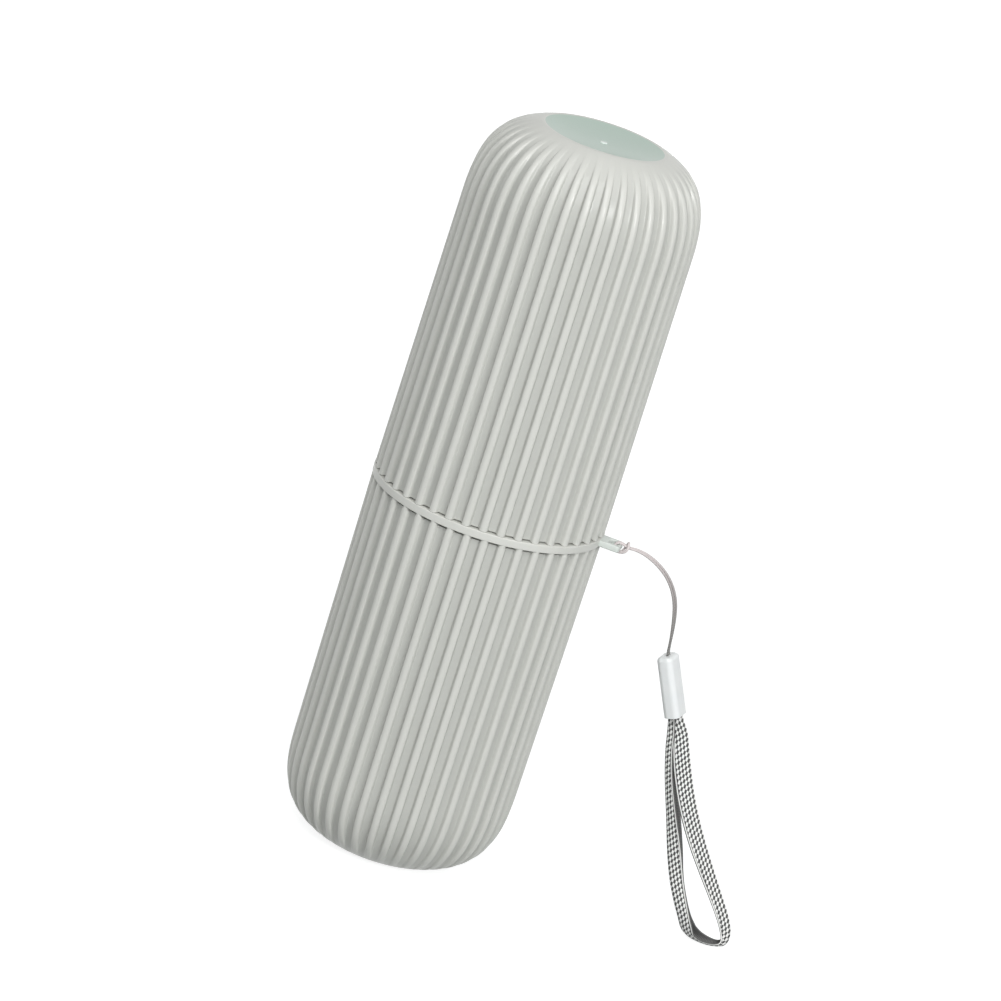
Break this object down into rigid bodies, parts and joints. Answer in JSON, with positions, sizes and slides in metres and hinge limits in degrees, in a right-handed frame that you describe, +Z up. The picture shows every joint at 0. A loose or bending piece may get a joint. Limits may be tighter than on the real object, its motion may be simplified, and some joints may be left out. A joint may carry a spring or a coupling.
{
  "type": "toothbrush travel case",
  "caption": "Tall ribbed plastic case for a toothbrush: a capsule of two cups that push together at mid height, with a lug on the rim and a woven wrist strap hitched to it.",
  "frame": {"origin": "middle of the flat base that the case stands on", "axes": "+Z up along the case's axis, +X out through the strap's lug"},
  "size_m": [0.1328, 0.0656, 0.2103],
  "materials": {
    "case_plastic": "satin, pale grey with a mint cast",
    "strap_cord": "grey twisted cord",
    "ferrule_plastic": "white, smooth",
    "webbing": "black and white weave outside, dark grey inside"
  },
  "bodies": {
    "case": {"lower_cup": "case_plastic"},
    "cap": {"upper_cup": "case_plastic"},
    "strap": {"strap_cord": "strap_cord", "strap_ferrule": "ferrule_plastic", "strap_webbing": "webbing"}
  },
  "joints": [
    {"name": "cap_pull", "type": "slide", "parent": "case", "child": "cap", "axis": [0, 0, 1], "range_m": [0, 0.12]},
    {"name": "strap_swing", "type": "hinge", "parent": "case", "child": "strap", "pos_m": [0.0379, 0, 0.1041], "axis": [0, 1, 0], "range_deg": [-100, 25]}
  ]
}
